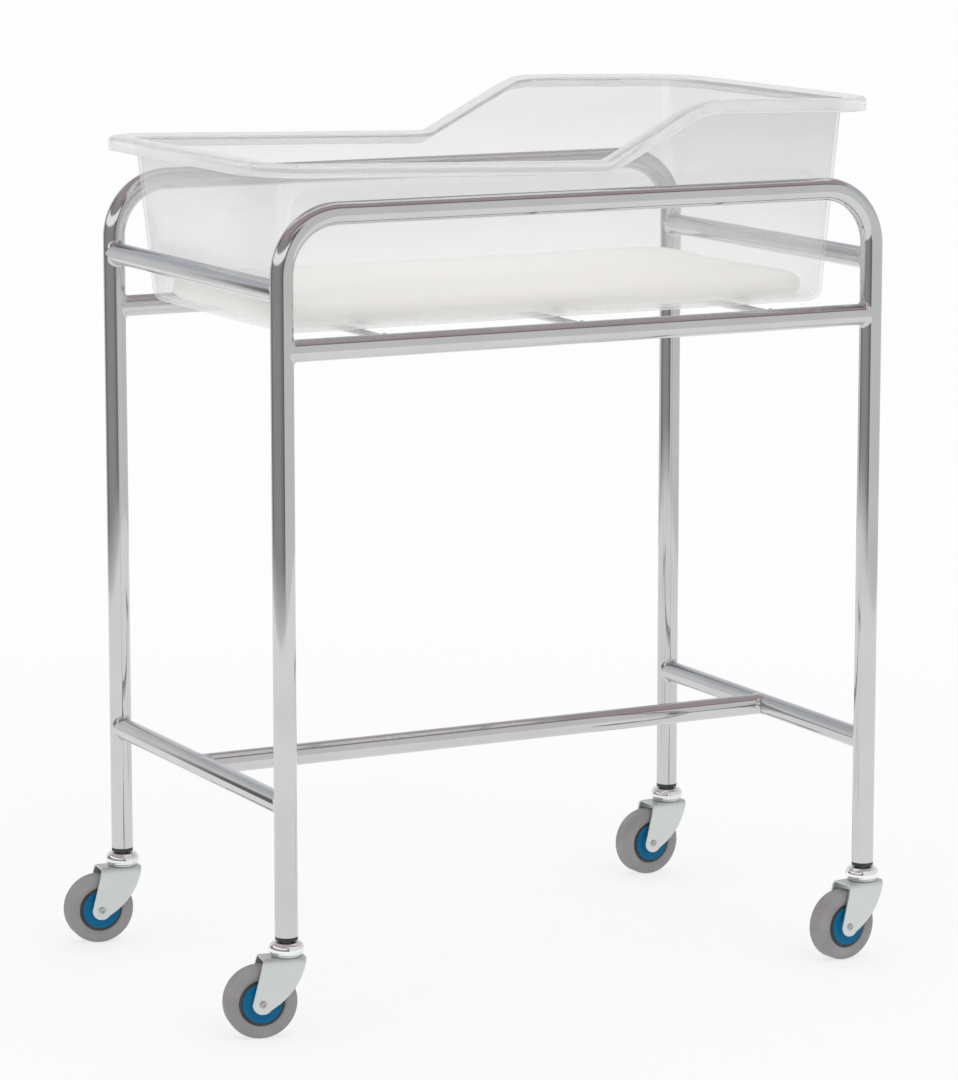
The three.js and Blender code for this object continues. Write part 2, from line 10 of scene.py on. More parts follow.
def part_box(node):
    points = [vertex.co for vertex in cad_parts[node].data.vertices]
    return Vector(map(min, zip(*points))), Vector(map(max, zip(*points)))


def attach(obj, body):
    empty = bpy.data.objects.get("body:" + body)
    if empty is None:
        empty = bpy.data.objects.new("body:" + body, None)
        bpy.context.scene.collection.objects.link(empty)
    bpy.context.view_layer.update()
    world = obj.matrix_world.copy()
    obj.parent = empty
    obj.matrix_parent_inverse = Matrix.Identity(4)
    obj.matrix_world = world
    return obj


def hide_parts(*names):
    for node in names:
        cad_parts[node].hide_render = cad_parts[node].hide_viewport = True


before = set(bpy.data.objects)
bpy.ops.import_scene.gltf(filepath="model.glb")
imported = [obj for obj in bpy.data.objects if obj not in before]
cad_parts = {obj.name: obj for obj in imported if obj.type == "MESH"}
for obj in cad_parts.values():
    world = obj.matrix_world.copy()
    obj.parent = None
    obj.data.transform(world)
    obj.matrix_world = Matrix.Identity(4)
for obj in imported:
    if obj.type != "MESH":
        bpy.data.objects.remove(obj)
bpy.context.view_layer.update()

# Tube frame, in metres, by its centre lines
TUBE, RAIL = 0.0125, 0.0121
LEG_X, LEG_Y = 0.365, 0.2275
LEG_BOTTOM, LEG_SPACING = 0.1101, 0.2
HOOP_TOP, HOOP_BEND, HOOP_STOP = 0.8875, 0.065, 0.15
LOWER_RAIL, END_RAIL, LOW_RAIL = 0.744, 0.806, 0.253
ROD, ROD_HEIGHT, ROD_SPACING = 0.004, 0.750, 0.240
FILLET, FILLET_BED, FILLET_ROOT = 0.0050, 0.0002, 0.0015
ROD_BEAD, ROD_BEAD_LIFT, ROD_BEAD_INSET = 0.0016, 0.0002, 0.0105

# How finely round forms are cut
TUBE_SIDES, ROD_SIDES, BEAD_SIDES = 36, 20, 24
TURNED_SIDES, RIVET_SIDES, TREAD_SIDES, ROOM_SIDES = 64, 40, 96, 96
HOOP_STEPS, STRAIGHT_STEPS, BEAD_STEPS = 20, 6, 10
FILLET_SIDES, FILLET_STEPS, FILLET_NUDGE = 72, 6, 0.01
TUB_STEPS, LIP_FOOT_STEPS = 8, 6
PAD_CORNER_STEPS, PAD_EDGE_STEPS = 8, 5
CHEEK_STEPS, CHEEK_COLUMNS = 10, 8

# Tub, by its outer faces
TUB_SHIFT = -0.0035
TUB_BOTTOM = 0.7543
FLOOR = (0.682, 0.363, 0.020)
MOUTH = (0.700, 0.410, 0.022)
EDGE = (0.776, 0.464, 0.070)
FLOOR_ROUND, WALL = 0.016, 0.004
FOOT_RIM, HEAD_RIM, RIM_SLOPE = 0.9295, 0.995, -0.028
STEP_START, STEP_END = 0.032, 0.152
STEP_LOW_EASE, STEP_HIGH_EASE = 0.03, 0.1
FLANGE_RISE, FLANGE_ROOT = 0.002, 0.006
LIP_HEIGHT, LIP_ROUND = 0.0145, 0.005
LIP_FOOT_LIFT, LIP_FOOT_ROUND = 0.001, 0.002

# Where points lie along the tub's sides: places before the rim's step, then shares of that step
PLAIN_PLACES = [-0.24, -0.16, -0.08]
STEP_SHARES = (
    -0.16, -0.09, -0.05, -0.02, 0, 0.02, 0.05, 0.09, 0.16, 0.35, 0.55,
    0.7, 0.8, 0.87, 0.93, 0.98, 1.03, 1.09, 1.17, 1.3, 1.5,
)

# Mattress
PAD = (0.666, 0.345, 0.034)
PAD_BOTTOM, PAD_EDGE, PAD_CROWN = 0.7586, 0.028, 0.008
PAD_ROUND, PAD_DRAWN_IN, PAD_SHRINK = 0.010, 0.003, 0.002
CROWN_SHARES = (0.12, 0.25, 0.4, 0.55, 0.7, 0.85)
PAD_VOXEL, PAD_PRESSURE, PAD_QUALITY, PAD_FRAMES = 0.006, 4.0, 4, 20
SWELL, SWELL_ABOVE = 0.004, 0.003

# Casters: the swivel axis is Z, and the wheel trails along +X
WHEEL, TRAIL = 0.040, 0.030
FORK_TOP, FORK_GAUGE, FORK_BEND = 0.0890, 0.0025, 0.0055
FORK_OUTER, FORK_FRONT, FORK_BACK = 0.0165, -0.0185, 0.0290
FORK_TIP, FORK_BULGE, FORK_CROWN = 0.0115, -0.0130, 0.004
FORK_LEAD = math.radians(216)
FORK_SOFT, FORK_SOFT_STEPS, FORK_SOFT_ANGLE = 0.0005, 2, math.radians(50)
TIP_ANGLES, BEND_ANGLES = (12, 24, 38, 52, 66, 80), (15, 30, 45, 60, 75, 90)
CORNER_SHARE = 0.45
CASTERS = {
    "front_left": (-1, -1, 168.7),
    "rear_left": (-1, 1, 173.7),
    "rear_right": (1, 1, 184.7),
    "front_right": (1, -1, 187.7),
}

# Turned caster pieces, as (radius, height) for those on the swivel axis
SLEEVE_ROUND, RACE_ROUND, CORE_ROUND = 0.0006, 0.0008, 0.0006
SLEEVE = [
    (0.0054, 0.1058), (0.0122, 0.1058), (0.0125, 0.1098),
    (0.0106, 0.1099), (0.0106, 0.1350), (0.0054, 0.1350),
]
DOME_FOOT = [
    (0.0056, 0.0918), (0.0176, 0.0918), (0.0183, 0.0924),
    (0.0185, 0.0934), (0.0186, 0.0940), (0.0190, 0.0945),
]
DOME_CENTRE, DOME_REACH, DOME_ANGLES = (0.0119, 0.0962), (0.0076, 0.0086), range(-10, 91, 10)
DOME_TOP = [(0.0112, 0.1046), (0.0106, 0.1040), (0.0100, 0.1040), (0.0056, 0.1040)]
RACE = [(0.0110, 0.0893), (0.0170, 0.0893), (0.0170, 0.0915), (0.0110, 0.0915)]

# The same for those on the axle, as (radius, distance from the wheel's middle) on one side
RIVET_HALF = [
    (0.0005, 0.0171), (0.0014, 0.0171), (0.0019, 0.0176), (0.0026, 0.0180),
    (0.0034, 0.0178), (0.0040, 0.0172), (0.0041, 0.0166), (0.0039, 0.0165),
]
CORE_HALF = [(0.0063, 0.0130), (0.0085, 0.0130), (0.0085, 0.0100), (0.0250, 0.0112)]
TREAD_HALF = [
    (0.0253, 0.0108), (0.0262, 0.0114), (0.0285, 0.0121), (0.0315, 0.0125),
    (0.0340, 0.0124), (0.0362, 0.0119), (0.0378, 0.0110), (0.0390, 0.0097),
    (0.0397, 0.0082), (0.0400, 0.0066), (0.0400, 0.0030),
]
DISH = [
    (0.0089, 0.0103), (0.0220, 0.0103), (0.0220, 0.0118), (0.0215, 0.0124),
    (0.0203, 0.0125), (0.0196, 0.0121), (0.0185, 0.0116), (0.0125, 0.0113),
    (0.0112, 0.0117), (0.0106, 0.0127), (0.0098, 0.0130), (0.0089, 0.0130),
]

# Camera
YAW, PITCH = math.radians(27.295), math.radians(9.799)
AHEAD = Vector((math.sin(YAW), math.cos(YAW), 0))
RIGHT = Vector((math.cos(YAW), -math.sin(YAW), 0))
CAMERA_PLACE = (-2.3271, -4.4822, 1.3513)
SENSOR, FOCAL_PIXELS, FRAME_PIXELS = 36.0, 4476.0, 1080.0

# Studio: lamps as (ahead, right, height, height aimed at, size, watts), levels in metres
LAMPS = {
    "key_lamp": (-1.8, 1.6, 2.8, 0.6, 1.6, 10),
    "fill_lamp": (-1.6, -2.0, 2.0, 0.6, 2.0, 6),
    "back_lamp": (1.8, 0.6, 2.8, 0.7, 2.0, 5),
}
ROOM, CEILING, WALL_FOOT, FLOOR_HALF = 2.6, 2.6, 0.002, 30.0
LIGHT_WALL, BACK_WALL = (0.76, 0.76, 0.76, 1), (0.56, 0.575, 0.61, 1)
DARK_NEAR, DARK_FAR = (0.16, 0.15, 0.15, 1), (0.37, 0.352, 0.352, 1)
DARK_START, DARK_WHOLE, DARK_END = 0.37 * ROOM, 0.42 * ROOM, 0.9 * ROOM
WINDOW_TONE, WINDOW_FOOT, WINDOW_HEAD = (1.2, 1.2, 1.2, 1), (1.15, 1.25), (1.85, 1.7)
WINDOW_START, WINDOW_WHOLE = 0.5 * ROOM, 0.6 * ROOM
RED_EDGE, RED_CEILING = (0.26, 0.20, 0.20, 1), (0.47, 0.39, 0.39, 1)
WORLD_LIGHT, WORLD_SEEN = (0.91, 0.91, 0.91, 1), (0.985, 0.985, 0.985, 1)
TRANSPARENT_BOUNCES = 32

front_low, front_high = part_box("front_hoop")
_, rear_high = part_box("rear_hoop")
MIDDLE = Vector(((front_low.x + front_high.x) / 2, (front_low.y + rear_high.y) / 2, 0))


# Materials

PLASTIC_IOR = 1.49


class Wire:
    """A shader value that takes Python arithmetic."""

    def __init__(self, finish, socket):
        self.finish, self.socket = finish, socket

    def math(self, operation, a, b):
        return self.finish.node("ShaderNodeMath", {"operation": operation}, {0: a, 1: b})

    def __add__(self, other):
        return self.math("ADD", self, other)

    __radd__ = __add__

    def __sub__(self, other):
        return self.math("SUBTRACT", self, other)

    def __rsub__(self, other):
        return self.math("SUBTRACT", other, self)

    def __mul__(self, other):
        return self.math("MULTIPLY", self, other)

    __rmul__ = __mul__

    def __pow__(self, other):
        return self.math("POWER", self, other)


class Finish:
    """A node tree for one finish, with its nodes made on demand."""

    def __init__(self, owner):
        owner.use_nodes = True
        self.owner, self.tree = owner, owner.node_tree

    def node(self, kind, settings, inputs, output=0):
        node = self.tree.nodes.new(kind)
        for key, value in settings.items():
            setattr(node, key, value)
        for key, value in inputs.items():
            if isinstance(value, Wire):
                self.tree.links.new(value.socket, node.inputs[key])
            else:
                node.inputs[key].default_value = value
        return Wire(self, node.outputs[output])

    def place(self):
        return self.node("ShaderNodeTexCoord", {}, {}, "Object")

    def stretched(self, scale):
        return self.node("ShaderNodeMapping", {}, {"Vector": self.place(), "Scale": scale})

    def noise(self, scale, detail=3.0, where=None):
        inputs = {"Vector": where or self.place(), "Scale": scale, "Detail": detail}
        return self.node("ShaderNodeTexNoise", {}, inputs)

    def blend(self, share, first, second):
        return self.node("ShaderNodeMix", {"data_type": "RGBA"}, {0: share, 6: first, 7: second}, 2)

    def steps(self, value, low, high):
        """The value, spread so that low gives 0 and high gives 1."""
        inputs = {"Value": value, "From Min": low, "From Max": high}
        return self.node("ShaderNodeMapRange", {"clamp": True}, inputs)

    def bump(self, height, depth, strength=1.0):
        return self.node("ShaderNodeBump", {}, {"Height": height, "Distance": depth, "Strength": strength})

    def along(self, direction):
        """How far a point lies along a direction, in metres."""
        settings = {"operation": "DOT_PRODUCT"}
        return self.node("ShaderNodeVectorMath", settings, {0: self.place(), 1: direction}, "Value")

    def shader(self, inputs):
        return self.node("ShaderNodeBsdfPrincipled", {}, inputs)

    def facing(self):
        """0 where the surface faces the eye, rising to 1 where it is seen edge-on."""
        return self.node("ShaderNodeLayerWeight", {}, {"Blend": 0.5}, "Facing")

    def mixed(self, share, first, second):
        return self.node("ShaderNodeMixShader", {}, {0: share, 1: first, 2: second})

    def cover(self, shader):
        """Puts a shader on the surface."""
        self.tree.links.new(shader.socket, self.tree.nodes["Material Output"].inputs["Surface"])
        return self.owner

    def surface(self, inputs):
        return self.cover(self.shader(inputs))


def finish(name):
    look = Finish(bpy.data.materials.new(name))
    look.tree.nodes.remove(look.tree.nodes["Principled BSDF"])
    return look


def chrome(name, bright, smudged):
    look = finish(name)
    smudge = look.steps(look.noise(9.0, 4.0), 0.42, 0.72)
    grain = look.noise(240.0, 2.0, look.stretched((1.0, 1.0, 0.12)))
    return look.surface({
        "Base Color": look.blend(smudge, bright, smudged),
        "Metallic": 1.0,
        "Roughness": 0.04 + 0.05 * smudge + 0.02 * grain,
        "Normal": look.bump(grain, 0.00003, 0.12),
    })


def weld_bead():
    look = finish("chromed_weld")
    ripple = look.noise(420.0, 2.0)
    return look.surface({
        "Base Color": look.blend(ripple, (0.66, 0.66, 0.67, 1), (0.58, 0.575, 0.58, 1)),
        "Metallic": 1.0,
        "Roughness": 0.07 + 0.08 * ripple,
        "Normal": look.bump(ripple, 0.0002, 0.2),
    })


def zinc():
    look = finish("zinc_plated_steel")
    cloud = look.noise(38.0, 4.0)
    speck = look.node("ShaderNodeTexVoronoi", {}, {"Vector": look.place(), "Scale": 420.0})
    rolled = look.noise(520.0, 2.0, look.stretched((1.0, 1.0, 0.1)))
    return look.surface({
        "Base Color": look.blend(cloud, (0.60, 0.635, 0.62, 1), (0.72, 0.75, 0.735, 1)),
        "Metallic": 0.9,
        "Roughness": 0.34 + 0.10 * cloud + 0.08 * speck,
        "Normal": look.bump(rolled + 0.5 * speck, 0.00008, 0.35),
    })


def rivet_steel():
    look = finish("turned_rivet_steel")
    cloud = look.noise(300.0, 3.0)
    return look.surface({
        "Base Color": look.blend(cloud, (0.42, 0.39, 0.40, 1), (0.56, 0.53, 0.54, 1)),
        "Metallic": 1.0,
        "Roughness": 0.25 + 0.15 * cloud,
    })


def clear_plastic():
    """The tub's walls and floor: thin, faintly milky, and painted paler low down, a painted glow where the
    mattress lights them.
    """
    look = finish("clear_tub_plastic")
    edge = look.facing()
    haze = look.noise(7.0, 3.0)
    scuff = look.steps(look.noise(60.0, 5.0, look.stretched((1.0, 1.0, 2.5))), 0.58, 0.8)
    ripple = look.bump(look.noise(14.0, 2.0), 0.0005, 0.08)
    # Height mask, 1 low down: there the milky colour is painted paler, a painted glow standing for the
    # mattress's light, and the veil thins
    low = look.steps(look.along((0, 0, 1)), 0.95, 0.82)
    clear = look.node("ShaderNodeBsdfTransparent", {}, {"Color": (0.977, 0.978, 0.979, 1)})
    # Painted light: the milky colour runs from grey high up to nearly white low down
    milky = look.shader({
        "Base Color": look.blend(0.8 * low + 0.2 * haze, (0.56, 0.57, 0.575, 1), (0.975, 0.962, 0.957, 1)),
        "Roughness": 0.28 + 0.2 * haze,
        "IOR": PLASTIC_IOR,
        "Normal": ripple,
    })
    gloss = look.shader({
        "Base Color": look.blend(haze, (0.94, 0.945, 0.95, 1), (0.98, 0.98, 0.98, 1)),
        "Metallic": 1.0,
        "Roughness": 0.03 + 0.05 * haze + 0.08 * scuff,
        "Normal": ripple,
    })
    veil = 0.14 + 0.05 * haze + 0.03 * scuff - 0.09 * low + 0.4 * edge ** 3.0
    shine = 0.03 + 0.3 * edge ** 5.0
    body = look.mixed(veil, clear, milky)
    return look.cover(look.mixed(shine, body, gloss))


def rim_plastic():
    """The tub's thicker flange and lip, which gather the light."""
    look = finish("clear_rim_plastic")
    edge = look.facing()
    haze = look.noise(9.0, 3.0)
    ripple = look.bump(look.noise(16.0, 2.0), 0.0005, 0.08)
    clear = look.shader({
        "Base Color": look.blend(haze, (0.93, 0.935, 0.937, 1), (0.97, 0.972, 0.973, 1)),
        "Roughness": 0.03 + 0.05 * haze,
        "IOR": PLASTIC_IOR,
        "Transmission Weight": 1.0,
        "Normal": ripple,
    })
    milky = look.shader({
        "Base Color": look.blend(haze, (0.96, 0.961, 0.962, 1), (0.98, 0.98, 0.98, 1)),
        "Roughness": 0.22 + 0.15 * haze,
        "IOR": PLASTIC_IOR,
        "Normal": ripple,
    })
    veil = 0.18 + 0.12 * haze + 0.45 * edge ** 2.0
    return look.cover(look.mixed(veil, clear, milky))


def mattress_cover():
    look = finish("cream_mattress_cover")
    place = look.place()
    across = look.node("ShaderNodeTexWave", {"bands_direction": "X"}, {"Vector": place, "Scale": 190.0})
    along = look.node("ShaderNodeTexWave", {"bands_direction": "Y"}, {"Vector": place, "Scale": 190.0})
    crease = look.noise(11.0, 4.0, look.stretched((0.5, 1.6, 1.0)))
    tone = look.noise(5.0, 3.0)
    return look.surface({
        "Base Color": look.blend(tone, (0.96, 0.948, 0.905, 1), (0.978, 0.97, 0.94, 1)),
        "Roughness": 0.66 + 0.12 * across * along + 0.06 * tone,
        "Sheen Weight": 0.25,
        "Sheen Roughness": 0.5,
        "Normal": look.bump(0.12 * across * along + crease, 0.0012, 0.35),
    })


def black_plastic():
    look = finish("black_moulded_plastic")
    grain = look.noise(900.0, 2.0)
    wear = look.steps(look.noise(70.0, 4.0), 0.5, 0.8)
    return look.surface({
        "Base Color": look.blend(wear, (0.024, 0.025, 0.028, 1), (0.06, 0.061, 0.064, 1)),
        "Roughness": 0.42 + 0.16 * grain,
        "Normal": look.bump(grain, 0.0001, 0.4),
    })


def blue_plastic():
    look = finish("blue_moulded_plastic")
    grain = look.noise(760.0, 2.0)
    tone = look.noise(45.0, 3.0)
    return look.surface({
        "Base Color": look.blend(tone, (0.0015, 0.108, 0.235, 1), (0.003, 0.145, 0.300, 1)),
        "Roughness": 0.36 + 0.18 * grain,
        "Specular IOR Level": 0.12,
        "Normal": look.bump(grain, 0.00012, 0.35),
    })


def grey_rubber():
    look = finish("grey_tyre_rubber")
    dust = look.steps(look.noise(34.0, 5.0), 0.4, 0.75)
    grain = look.noise(1100.0, 2.0)
    return look.surface({
        "Base Color": look.blend(dust, (0.250, 0.240, 0.246, 1), (0.310, 0.300, 0.304, 1)),
        "Roughness": 0.62 + 0.2 * dust,
        "Specular IOR Level": 0.3,
        "Normal": look.bump(grain + dust, 0.0002, 0.4),
    })


CHROME = chrome("polished_chrome", (0.625, 0.63, 0.635, 1), (0.58, 0.58, 0.585, 1))
# The dome's chrome is a brighter copy of the frame's chrome, paler than real chrome: a painted highlight
DOME_CHROME_PAINTED_BRIGHT = chrome("dome_chrome_painted_highlight", (0.93, 0.935, 0.94, 1), (0.80, 0.80, 0.805, 1))
WELDED, ZINC, RIVET = weld_bead(), zinc(), rivet_steel()
CLEAR, CLEAR_RIM = clear_plastic(), rim_plastic()
COVER, BLACK, BLUE, RUBBER = mattress_cover(), black_plastic(), blue_plastic(), grey_rubber()


# Mesh making

def piece(name, skin, look, body, slot, stands_for=(), sharp=35.0):
    """A closed mesh piece on a body, in place of the CAD nodes that it stands for."""
    points, faces = skin
    mesh = bpy.data.meshes.new(name)
    mesh.from_pydata([tuple(point) for point in points], [], faces)
    shape = bmesh.new()
    shape.from_mesh(mesh)
    bmesh.ops.recalc_face_normals(shape, faces=shape.faces)
    shape.to_mesh(mesh)
    shape.free()
    mesh.shade_smooth()
    mesh.set_sharp_from_angle(angle=math.radians(sharp))
    mesh.materials.append(look)
    made = bpy.data.objects.new(name, mesh)
    bpy.context.scene.collection.objects.link(made)
    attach(made, body)
    if stands_for:
        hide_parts(*stands_for)
    return made


def skinned(rings, joined=False):
    """A skin through rings of points: capped at its two ends, or joined end to end."""
    count = len(rings[0])
    points = [point for ring in rings for point in ring]
    faces = []
    for j in range(len(rings) if joined else len(rings) - 1):
        low, high = j * count, (j + 1) % len(rings) * count
        for i in range(count):
            k = (i + 1) % count
            faces.append((low + i, low + k, high + k, high + i))
    if not joined:
        faces.append(tuple(reversed(range(count))))
        faces.append(tuple(range(len(points) - count, len(points))))
    return points, faces


def merged(skins):
    points, faces = [], []
    for more_points, more_faces in skins:
        start = len(points)
        points += more_points
        faces += [tuple(start + i for i in face) for face in more_faces]
    return points, faces


def tube(path, radius, sides=TUBE_SIDES):
    """A round tube along a path of points."""
    rings = []
    last = len(path) - 1
    normal = None
    for i, point in enumerate(path):
        along = (path[min(i + 1, last)] - path[max(i - 1, 0)]).normalized()
        if normal is None:
            normal = along.orthogonal().normalized()
        normal = (normal - along * normal.dot(along)).normalized()
        side = along.cross(normal)
        turn = [2 * math.pi * k / sides for k in range(sides)]
        rings.append([point + radius * (normal * math.cos(a) + side * math.sin(a)) for a in turn])
    return skinned(rings)


def turned(profile, place, sides=TURNED_SIDES, joined=True):
    """A turned piece: its profile of (radius, along) goes round the Z axis of place."""
    turn = [2 * math.pi * k / sides for k in range(sides)]
    rings = [[place @ Vector((r * math.cos(a), r * math.sin(a), z)) for a in turn] for r, z in profile]
    return skinned(rings, joined)


def arc(across, up, radius, first, last, steps):
    """Points on an arc from a first to a last angle, in degrees."""
    angles = [math.radians(first + (last - first) * i / steps) for i in range(steps + 1)]
    return [(across + radius * math.cos(a), up + radius * math.sin(a)) for a in angles]


# Tube frame

def hoop_path(y):
    corner = arc(LEG_X - HOOP_BEND, HOOP_TOP - HOOP_BEND, HOOP_BEND, 0, 90, HOOP_STEPS)
    leg = [(LEG_X, LEG_BOTTOM)] + [(LEG_X, LEG_SPACING * i) for i in (1, 2, 3, 4)]
    half = leg + corner + [(HOOP_STOP, HOOP_TOP)]
    whole = [(-x, z) for x, z in half] + [(x, z) for x, z in reversed(half)]
    return [MIDDLE + Vector((x, y, z)) for x, z in whole]


def straight(start, end):
    """Points along a straight tube."""
    shares = [i / STRAIGHT_STEPS for i in range(STRAIGHT_STEPS + 1)]
    return [MIDDLE + Vector(start).lerp(Vector(end), share) for share in shares]


def weld_fillet(centre, rail, leg):
    """The smooth fillet where a rail meets a tube: rail points away from that tube, leg along it."""
    home, rail, leg = MIDDLE + Vector(centre), Vector(rail), Vector(leg)
    side = rail.cross(leg)
    shares = [k / FILLET_STEPS for k in range(FILLET_STEPS + 1)]

    def meeting(turn):
        """Where the rail's skin meets the tube's, at a turn round the rail."""
        level, across = RAIL * math.sin(turn), RAIL * math.cos(turn)
        return rail * math.sqrt(TUBE ** 2 - across ** 2) + leg * level + side * across

    def pressed(point, axis, radius):
        """The point, set just under the skin of a tube along the axis."""
        along = axis * point.dot(axis)
        return along + (point - along).normalized() * (radius - FILLET_BED)

    rings = []
    for turn in [2 * math.pi * i / FILLET_SIDES for i in range(FILLET_SIDES)]:
        corner = meeting(turn)
        run = (meeting(turn + FILLET_NUDGE) - meeting(turn - FILLET_NUDGE)).normalized()
        rail_out = leg * math.sin(turn) + side * math.cos(turn)
        leg_out = (corner - leg * corner.dot(leg)).normalized()
        on_rail, on_leg = rail_out.cross(run).normalized(), leg_out.cross(run).normalized()
        on_rail *= math.copysign(1, on_rail.dot(rail))
        on_leg *= math.copysign(1, on_leg.dot(rail_out))
        first = pressed(corner + on_rail * FILLET, rail, RAIL)
        last = pressed(corner + on_leg * FILLET, leg, TUBE)
        ring = [first * (1 - t) ** 2 + corner * 2 * t * (1 - t) + last * t * t for t in shares]
        ring.append(corner - (rail_out + leg_out) * FILLET_ROOT)
        rings.append([home + point for point in ring])
    return skinned(rings, True)


def chromed(name, path, radius, node, sides=TUBE_SIDES):
    piece(name, tube(path, radius, sides), CHROME, "frame", "chrome", [node])


def tube_frame():
    welds = []
    for name, side in (("front", -1), ("rear", 1)):
        y = side * LEG_Y
        chromed(f"{name}_hoop_tube", hoop_path(y), TUBE, f"{name}_hoop")
        path = straight((-LEG_X, y, LOWER_RAIL), (LEG_X, y, LOWER_RAIL))
        chromed(f"{name}_lower_tube", path, RAIL, f"{name}_lower_rail")
        for end in (-1, 1):
            welds.append(weld_fillet((end * LEG_X, y, LOWER_RAIL), (-end, 0, 0), (0, 0, 1)))
    for name, end in (("left", -1), ("right", 1)):
        x = end * LEG_X
        for level, height in (("end", END_RAIL), ("low", LOW_RAIL)):
            path = straight((x, -LEG_Y, height), (x, LEG_Y, height))
            chromed(f"{name}_{level}_tube", path, RAIL, f"{name}_{level}_rail")
            for side in (-1, 1):
                welds.append(weld_fillet((x, side * LEG_Y, height), (0, -side, 0), (0, 0, 1)))
        welds.append(weld_fillet((x, 0, LOW_RAIL), (-end, 0, 0), (0, 1, 0)))
    path = straight((-LEG_X, 0, LOW_RAIL), (LEG_X, 0, LOW_RAIL))
    chromed("stretcher_tube", path, RAIL, "stretcher")
    bead = arc(ROD + ROD_BEAD_LIFT, 0, ROD_BEAD, 0, 360, BEAD_STEPS)[:-1]
    for number in (1, 2, 3):
        x = (number - 2) * ROD_SPACING
        path = straight((x, -LEG_Y, ROD_HEIGHT), (x, LEG_Y, ROD_HEIGHT))
        chromed(f"tub_rod_{number}_bar", path, ROD, f"tub_rod_{number}", ROD_SIDES)
        for side in (-1, 1):
            seat = MIDDLE + Vector((x, side * (LEG_Y - ROD_BEAD_INSET), ROD_HEIGHT))
            place = Matrix.Translation(seat) @ Matrix.Rotation(math.pi / 2, 4, "X")
            welds.append(turned(bead, place, BEAD_SIDES))
    piece("frame_welds", merged(welds), WELDED, "frame", "chrome")


# Tub

def rim_height(x):
    """The rim's height along the tub: low at the foot, high at the head, with an eased step between."""
    share = (x - STEP_START) / (STEP_END - STEP_START)
    climb = (1 + math.hypot(share, STEP_LOW_EASE) - math.hypot(1 - share, STEP_HIGH_EASE)) / 2
    return FOOT_RIM + RIM_SLOPE * x + (HEAD_RIM - FOOT_RIM) * climb


def outline(size, corner_steps=10):
    """Points round a rectangle with round corners, each with the way out from it."""
    length, width, radius = size
    run = STEP_END - STEP_START
    places = PLAIN_PLACES + [STEP_START + run * share for share in STEP_SHARES]
    found = []

    def corner(x, y, first):
        centre = Vector((x * (length / 2 - radius), y * (width / 2 - radius)))
        for i in range(corner_steps + 1):
            angle = math.radians(first + 90 * i / corner_steps)
            out = Vector((math.cos(angle), math.sin(angle)))
            found.append((centre + out * radius, out))

    corner(1, 1, 0)
    found.extend((Vector((x, width / 2)), Vector((0, 1))) for x in reversed(places))
    corner(-1, 1, 90)
    corner(-1, -1, 180)
    found.extend((Vector((x, -width / 2)), Vector((0, -1))) for x in places)
    corner(1, -1, 270)
    return found


def tub():
    floor, mouth, edge = outline(FLOOR), outline(MOUTH), outline(EDGE)
    home = MIDDLE + Vector((TUB_SHIFT, 0, 0))

    def rings(points, height, profile):
        made = []
        for across, up in profile:
            flat = [(point + out * across, height(point.x) + up) for point, out in points]
            made.append([home + Vector((spot.x, spot.y, level)) for spot, level in flat])
        return made

    def floor_rings(radius, first, last):
        profile = arc(-FLOOR_ROUND, FLOOR_ROUND, radius, first, last, TUB_STEPS)
        return rings(floor, lambda x: TUB_BOTTOM, profile)

    def root_rings(radius, first, last):
        profile = arc(FLANGE_ROOT - WALL, -FLANGE_ROOT, radius, first, last, TUB_STEPS)
        return rings(mouth, rim_height, profile)

    def between(low, high, steps=6):
        shares = [i / steps for i in range(1, steps)]
        return [[a.lerp(b, share) for a, b in zip(low, high)] for share in shares]

    lip_foot = FLANGE_RISE - LIP_HEIGHT + LIP_FOOT_LIFT
    lip = [(-WALL, FLANGE_RISE - WALL), (-WALL, lip_foot)]
    lip += arc(-WALL + LIP_FOOT_ROUND, lip_foot, LIP_FOOT_ROUND, 180, 360, LIP_FOOT_STEPS)
    lip += arc(-LIP_ROUND, FLANGE_RISE - LIP_ROUND, LIP_ROUND, 0, 90, TUB_STEPS)
    outer_floor = floor_rings(FLOOR_ROUND, -90, 0)
    outer_root = root_rings(FLANGE_ROOT - WALL, 180, 90)
    inner_root = root_rings(FLANGE_ROOT, 90, 180)
    inner_floor = floor_rings(FLOOR_ROUND - WALL, 0, -90)
    whole = outer_floor + between(outer_floor[-1], outer_root[0]) + outer_root
    rim_start = len(whole) - 1
    whole += rings(edge, rim_height, lip)
    rim_end = len(whole)
    whole += inner_root + between(inner_root[-1], inner_floor[0]) + inner_floor
    shell = piece("tub_shell", skinned(whole), CLEAR, "tub", "clear_plastic", ["tub"], sharp=50.0)
    shell.data.materials.append(CLEAR_RIM)
    for face in shell.data.polygons:
        if rim_start <= face.index // len(floor) < rim_end:
            face.material_index = 1


# Mattress

